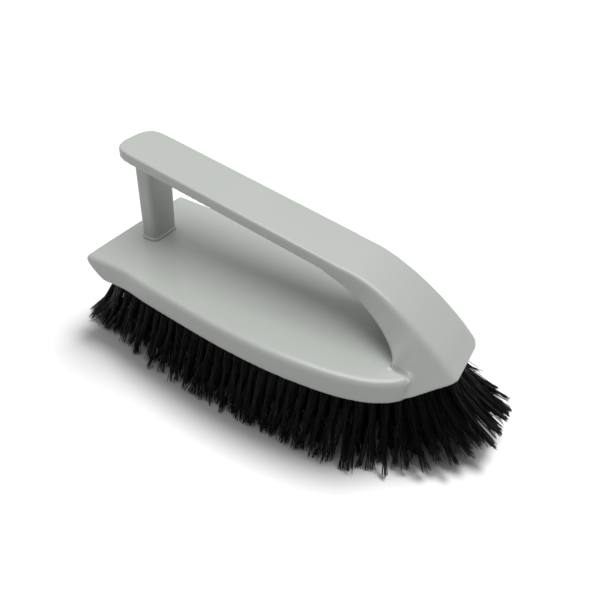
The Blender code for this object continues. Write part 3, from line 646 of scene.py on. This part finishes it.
def rounded(points, cuts, samples):
    """A path with each inner corner cut back and rounded, and the same count for any shape."""
    path = [points[0]]
    for index in range(1, len(points) - 1):
        corner = points[index]
        before, after = points[index - 1] - corner, points[index + 1] - corner
        room = CUT_LIMIT_SHARE * min(np.linalg.norm(before), np.linalg.norm(after))
        cut = min(cuts[index - 1], room)
        start = corner + before / np.linalg.norm(before) * cut
        end = corner + after / np.linalg.norm(after) * cut
        for step in range(samples):
            t = step / (samples - 1)
            path.append(start * (1 - t) ** 2 + 2 * corner * t * (1 - t) + end * t ** 2)
    path.append(points[-1])
    return path


def handle_ring(station):
    """A ring across the handle: flat top, rounded edge, flank over its knee to the foot."""
    top_x, top_z, top_half, radius, bulge = station[:5]
    knee, foot = station[5:8], station[8:11]
    edge = np.array([top_x, top_half, top_z])
    down = knee - edge
    outward = np.array([0, 1, 0]) - down * down[1] / (down @ down)
    outward /= np.linalg.norm(outward)
    middle = edge + down * FLANK_MIDDLE_SHARE + outward * bulge
    points = [np.array([top_x, 0, top_z]), edge, middle, knee, foot,
              np.array([foot[0], 0, foot[2]])]
    cuts = (radius, FLANK_ROUND, KNEE_ROUND, UNDER_RADIUS)
    return mirrored(rounded(points, cuts, ROUND_STEPS))


def grip_top(x):
    """Height of the band's top at a place along the block."""
    return GRIP_RISE - GRIP_SLOPE * x


def handle_solid():
    """The handle without its post: the band's rounded end, the band, the arch and the bow."""
    stations = []
    for along, width, drop in GRIP_END_SHARES:
        x = GRIP_START + along * GRIP_END_ROUND
        top, half = grip_top(x) - drop * GRIP_END_RADIUS, width * GRIP_HALF_WIDTH
        bottom = grip_top(x) - GRIP_THICKNESS
        knee = (x, half, bottom + GRIP_KNEE_SHARE * (top - bottom))
        stations.append((x, top, half, GRIP_EDGE_RADIUS, 0, *knee, x, half, bottom))
    curve = smooth_through(BOW_TOP, STATION_STEPS)
    bow = [(top, (x, y, z + ARCH_KNEE_RISE), (x, y, z)) for top, x, y, z in ARCH_STATIONS]
    for top_x, knee, foot in bow + list(ROOT_STATIONS):
        top_z = np.interp(top_x, curve[:, 0], curve[:, 1])
        bend = max(0.0, (top_x - BOW_START) / (BLOCK_LENGTH - BOW_START))
        flare = (knee[1] - GRIP_HALF_WIDTH) / GRIP_HALF_WIDTH
        half = GRIP_HALF_WIDTH + bend * (LIP_HALF_WIDTH - GRIP_HALF_WIDTH)
        half -= BOW_CORNER_RADIUS * max(0.0, 1 - (BLOCK_LENGTH - top_x) / BOW_CORNER_RADIUS) ** 3
        radius = GRIP_EDGE_RADIUS + bend * (BOW_EDGE_RADIUS - GRIP_EDGE_RADIUS)
        stations.append((top_x, top_z, half, radius, FLANK_BULGE * flare, *knee, *foot))
    rear = [handle_ring(np.array(station)) for station in stations[:len(GRIP_END_SHARES)]]
    front = smooth_through(stations[len(GRIP_END_SHARES) - 1:], STATION_STEPS)
    return loft(rear[:-1] + [handle_ring(station) for station in front])


def sweep_solid():
    """The small hollow curve that carries the arch's underside onto the block's top."""
    near = [(x, half, z) for (x, z), half in zip(SWEEP_PROFILE, SWEEP_HALF_WIDTHS)]
    far = [(x, -half, z) for (x, z), half in zip(SWEEP_PROFILE, SWEEP_HALF_WIDTHS)]
    return loft([np.array(near), np.array(far)])


def plain_object(name, vertices, faces):
    """An object from points in millimetres and their faces."""
    mesh = bpy.data.meshes.new(name)
    mesh.from_pydata(in_frame(vertices).tolist(), [], faces)
    item = bpy.data.objects.new(name, mesh)
    bpy.context.scene.collection.objects.link(item)
    return item


def wrapped_skin(solids):
    """One smooth skin round overlapping solids, whose inner corners come out softly filled."""
    vertices, faces, first = [], [], 0
    for points, sides in solids:
        vertices.append(points)
        faces += [tuple(first + corner for corner in side) for side in sides]
        first += len(points)
    item = plain_object("skin", np.concatenate(vertices), faces)
    wrap = item.modifiers.new("wrap", "REMESH")
    wrap.mode = "VOXEL"
    wrap.voxel_size = VOXEL * MM
    soften = item.modifiers.new("soften", "SMOOTH")
    soften.factor = SMOOTH_FACTOR
    soften.iterations = SMOOTH_PASSES
    shown = item.evaluated_get(bpy.context.evaluated_depsgraph_get())
    mesh = bpy.data.meshes.new_from_object(shown)
    bpy.data.objects.remove(item, do_unlink=True)
    return mesh


def press_groove(mesh):
    """Press the groove into the upper side of a skin, the same on both sides of the middle."""
    points = np.array([v.co for v in mesh.vertices]) - np.array(FIT_ORIGIN)
    points /= MM
    upward = np.array([v.normal.z for v in mesh.vertices])
    line = smooth_through(GROOVE_LINE, SIDE_STEPS)
    depths = smooth_through(np.array(GROOVE_DEPTHS)[:, None], SIDE_STEPS)[:, 0]
    sides = np.column_stack([points[:, 0], np.abs(points[:, 1])])
    near = np.linalg.norm(sides[:, None] - line[None], axis=2)
    closest = near.argmin(1)
    share = np.clip(1 - (near.min(1) / GROOVE_HALF_WIDTH) ** 2, 0, 1)
    share *= (points[:, 2] < GROOVE_CEILING) & (points[:, 2] > GROOVE_FLOOR) & (upward > 0)
    points[:, 2] -= share * depths[closest]
    mesh.vertices.foreach_set("co", in_frame(points).ravel())
    mesh.update()


def shell_piece(name, skin, keep, material, node):
    """The faces of the skin that belong to one piece, with the skin's own normals."""
    faces = [tuple(face.vertices) for face in skin.polygons if keep[face.index]]
    used = sorted({corner for face in faces for corner in face})
    place = {corner: index for index, corner in enumerate(used)}
    mesh = bpy.data.meshes.new(name)
    mesh.from_pydata([skin.vertices[corner].co for corner in used], [],
                     [tuple(place[corner] for corner in face) for face in faces])
    mesh.shade_smooth()
    mesh.normals_split_custom_set_from_vertices([skin.vertices[corner].normal for corner in used])
    mesh.materials.append(material)
    piece = bpy.data.objects.new(name, mesh)
    bpy.context.scene.collection.objects.link(piece)
    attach(piece, "root")
    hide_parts(node)


def make_body(block_finish, handle_finish):
    """The skins of block and handle, parted where one solid is nearer than the other."""
    block, handle, sweep = block_solid(), handle_solid(), sweep_solid()
    skin = wrapped_skin([block, handle, sweep])
    press_groove(skin)
    trees = [BVHTree.FromPolygons([Vector(v) for v in in_frame(points)], sides)
             for points, sides in (block, handle)]
    on_handle = []
    for face in skin.polygons:
        reach = [tree.find_nearest(face.center)[3] for tree in trees]
        on_handle.append(reach[1] < reach[0])
    shell_piece("block_shell", skin, [not choice for choice in on_handle], block_finish,
                "block")
    shell_piece("handle_shell", skin, on_handle, handle_finish, "handle")
    bpy.data.meshes.remove(skin)


def post_ring(inset, height, slope):
    """A rounded rectangle, drawn in by the inset, whose height falls with the slope."""
    low, high = POST_REAR + inset, POST_REAR + POST_LENGTH - inset
    half, radius = POST_HALF_WIDTH - inset, POST_CORNER_RADIUS - inset
    ring = []
    for x, y, quarter in ((high, half, 0), (low, half, 1), (low, -half, 2), (high, -half, 3)):
        centre_x = x - radius if x == high else x + radius
        centre_y = y - radius if y > 0 else y + radius
        for step in range(CORNER_STEPS + 1):
            turn = math.pi / 2 * (quarter + step / CORNER_STEPS)
            place = centre_x + radius * math.cos(turn)
            ring.append((place, centre_y + radius * math.sin(turn), height - slope * place))
    return np.array(ring)


def make_post(material):
    """The post, from its raised foot on the block to its crown under the band."""
    rings = [post_ring(inset, height, 0.0) for height, inset in POST_FOOT]
    under_band = grip_top(0.0) - GRIP_THICKNESS
    rings += [post_ring(inset, under_band + rise, GRIP_SLOPE) for rise, inset in POST_CROWN]
    piece = plain_object("post", *loft(rings))
    piece.data.materials.append(material)
    piece.data.shade_smooth()
    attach(piece, "root")


bpy.context.scene.view_settings.view_transform = "Standard"
add_camera()
add_world()
floor = add_floor()
key = add_light("key", "AREA", KEY_PLACE, KEY_WATTS, floor, False)
key.size = KEY_SIZE
ground = add_light("ground_light", "SUN", GROUND_PLACE, GROUND_STRENGTH, floor, True)
ground.angle = GROUND_ANGLE
handle_grey = plastic("handle_grey", HANDLE_ROUGHNESS)
make_body(plastic("block_grey", BLOCK_ROUGHNESS), handle_grey)
make_post(handle_grey)
make_filaments(filament_material())
